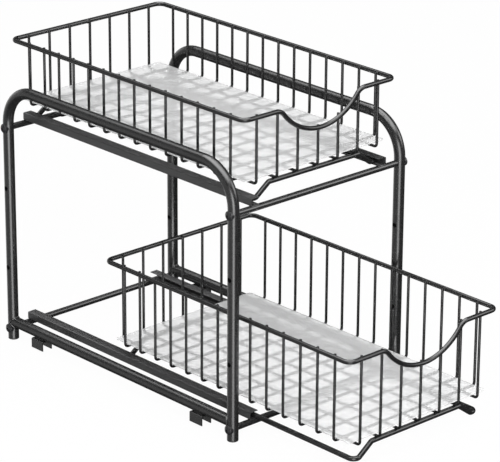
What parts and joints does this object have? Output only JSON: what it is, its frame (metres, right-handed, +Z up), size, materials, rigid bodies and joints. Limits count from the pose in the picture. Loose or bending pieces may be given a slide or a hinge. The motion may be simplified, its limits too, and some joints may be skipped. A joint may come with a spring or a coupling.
{
  "type": "two-tier pull-out cabinet basket organizer",
  "caption": "Black tube frame carrying a pair of stacked wire baskets that slide out on channel tracks; each basket has a scooped front and a milky liner, the lower one drawn part-way out.",
  "frame": {"origin": "on the floor, at the middle of the bounding box that the unit fills with its lower basket drawn out as stored", "axes": "+X to the right seen from the front, -Y towards the front where the baskets pull out, +Z up"},
  "size_m": [0.274, 0.5716, 0.3741],
  "materials": {
    "black_frame_coat": "semi-gloss black powder coat",
    "black_wire_coat": "semi-gloss black powder coat",
    "black_track_coat": "satin charcoal-black powder coat",
    "black_screw": "black oxide, satin",
    "zinc_insert": "zinc plated",
    "black_plastic": "moulded black nylon, matte",
    "milky_liner": "translucent milky plastic sheet, satin"
  },
  "bodies": {
    "frame": {"left_side_frame": "black_frame_coat", "right_side_frame": "black_frame_coat", "left_base_rail": "black_frame_coat", "right_base_rail": "black_frame_coat", "upper_front_crossbar": "black_frame_coat", "upper_rear_crossbar": "black_frame_coat", "lower_front_crossbar": "black_frame_coat", "lower_rear_crossbar": "black_frame_coat", "upper_left_track": "black_track_coat", "upper_right_track": "black_track_coat", "lower_left_track": "black_track_coat", "lower_right_track": "black_track_coat", "front_left_floor_bracket": "black_frame_coat", "front_right_floor_bracket": "black_frame_coat", "rear_left_floor_bracket": "black_frame_coat", "rear_right_floor_bracket": "black_frame_coat", "track_stops": "black_track_coat", "frame_screws": "black_screw", "crossbar_inserts": "zinc_insert", "foot_plugs": "black_plastic"},
    "upper_basket": {"upper_rim": "black_wire_coat", "upper_cross_wires": "black_wire_coat", "upper_long_wires": "black_wire_coat", "upper_slide_ring": "black_wire_coat", "upper_glide_shoes": "black_plastic", "upper_liner": "milky_liner"},
    "lower_basket": {"lower_rim": "black_wire_coat", "lower_cross_wires": "black_wire_coat", "lower_long_wires": "black_wire_coat", "lower_slide_ring": "black_wire_coat", "lower_glide_shoes": "black_plastic", "lower_liner": "milky_liner"}
  },
  "joints": [
    {"name": "upper_basket_slide", "type": "slide", "parent": "frame", "child": "upper_basket", "axis": [0, -1, 0], "range_m": [0, 0.26]},
    {"name": "lower_basket_slide", "type": "slide", "parent": "frame", "child": "lower_basket", "axis": [0, -1, 0], "range_m": [-0.1662, 0.0938]}
  ]
}
